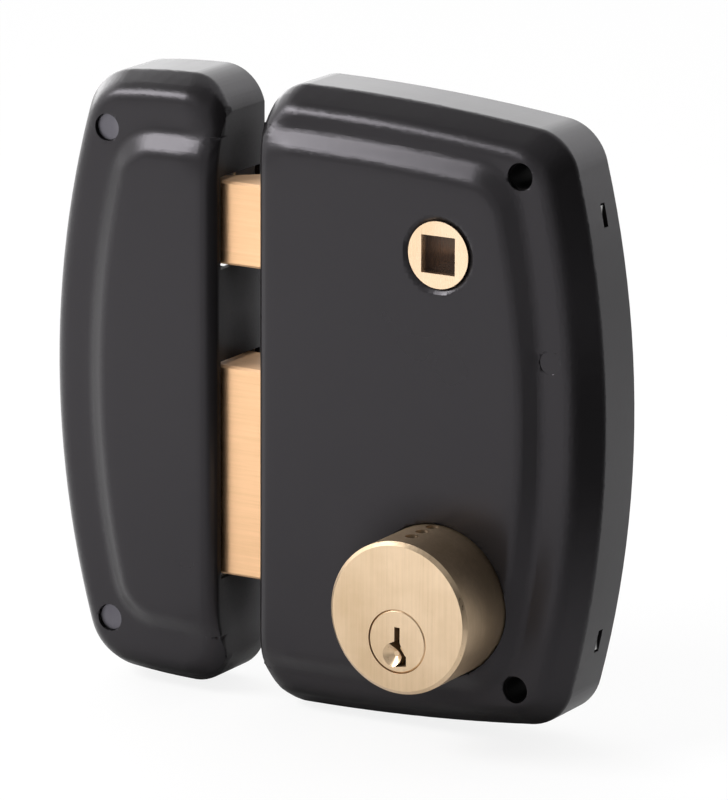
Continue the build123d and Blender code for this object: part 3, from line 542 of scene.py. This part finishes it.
def add_lamp():
    """Rectangular softbox that faces lock and keeper."""
    data = bpy.data.lights.new("key", "AREA")
    data.shape = "RECTANGLE"
    data.size, data.size_y = LAMP_SIZE
    data.energy = LAMP_POWER
    lamp = bpy.data.objects.new("key", data)
    away = LAMP_DIRECTION.normalized()
    lamp.location = MIDDLE + away * LAMP_DISTANCE
    lamp.rotation_euler = away.to_track_quat("Z", "Y").to_euler()
    bpy.context.collection.objects.link(lamp)


def add_world():
    """Studio, white to the camera: brightest behind the lock, dark to its right and overhead."""
    world = bpy.data.worlds.new("studio")
    world.use_nodes = True
    bpy.context.scene.world = world
    studio = Nodes(world.node_tree)
    split = studio.add("ShaderNodeSeparateXYZ")
    studio.feed(studio.add("ShaderNodeTexCoord").outputs["Generated"], split.inputs["Vector"])
    levels = [
        studio.span(split.outputs[axis], low, high, start, stop, interpolation_type="SMOOTHSTEP")
        for axis, start, stop, low, high in WORLD_RAMPS
    ]
    lit = studio.tree.nodes["Background"]
    lit.inputs["Color"].default_value = WHITE
    studio.feed(reduce(studio.product, levels), lit.inputs["Strength"])
    white = studio.add("ShaderNodeBackground")
    white.inputs["Color"].default_value = WHITE
    to_camera = studio.add("ShaderNodeLightPath").outputs["Is Camera Ray"]
    seen = studio.mix_shaders(to_camera, lit.outputs["Background"], white.outputs["Background"])
    studio.feed(seen, studio.tree.nodes["World Output"].inputs["Surface"])


def floor_paint():
    """White to the camera but for a faint shadow, with a dark cloth to the right."""
    finish = Finish("floor_paint", FLOOR_COLOUR, 0.0, 0.8)
    finish.shader.inputs["Specular IOR Level"].default_value = 0.1
    away = finish.add("ShaderNodeVectorMath", operation="DISTANCE")
    away.inputs[1].default_value = CLOTH_MIDDLE
    finish.feed(finish.place, away.inputs[0])
    cloth = finish.shade(away.outputs["Value"], CLOTH_COLOUR, FLOOR_COLOUR, *CLOTH_EDGE)
    to_camera = finish.add("ShaderNodeLightPath").outputs["Is Camera Ray"]
    finish.paint(finish.mix(to_camera, cloth, (*FLOOR_COLOUR, 1), data_type="RGBA"))
    glow = finish.product(to_camera, FLOOR_GLOW)
    white = finish.add("ShaderNodeEmission").outputs["Emission"]
    seen = finish.mix_shaders(glow, finish.shader.outputs["BSDF"], white)
    finish.feed(seen, finish.tree.nodes["Material Output"].inputs["Surface"])
    return finish.material


def add_floor():
    """Wide floor under lock and keeper."""
    data = bpy.data.meshes.new("floor")
    corners = ((-1, -1), (1, -1), (1, 1), (-1, 1))
    places = [(x * FLOOR_REACH, y * FLOOR_REACH, FLOOR_Z) for x, y in corners]
    data.from_pydata(places, [], [(0, 1, 2, 3)])
    data.materials.append(floor_paint())
    floor = bpy.data.objects.new("floor", data)
    bpy.context.collection.objects.link(floor)


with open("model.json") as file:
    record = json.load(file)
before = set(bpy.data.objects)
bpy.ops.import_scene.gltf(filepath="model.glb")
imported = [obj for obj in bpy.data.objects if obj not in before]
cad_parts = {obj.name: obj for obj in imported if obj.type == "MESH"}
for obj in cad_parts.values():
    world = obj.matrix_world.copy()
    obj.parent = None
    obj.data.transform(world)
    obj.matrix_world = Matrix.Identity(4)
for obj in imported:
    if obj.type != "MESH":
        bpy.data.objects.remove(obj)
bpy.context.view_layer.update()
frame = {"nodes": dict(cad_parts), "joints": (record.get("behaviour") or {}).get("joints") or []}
materials = all_finishes()
dress(frame["nodes"], materials)
for cover, end in STRAIGHT_ENDS.items():
    soft_cover(frame, cover, end, materials["case_enamel"])
add_camera()
add_world()
add_lamp()
add_floor()
bpy.context.scene.view_settings.view_transform = "Standard"
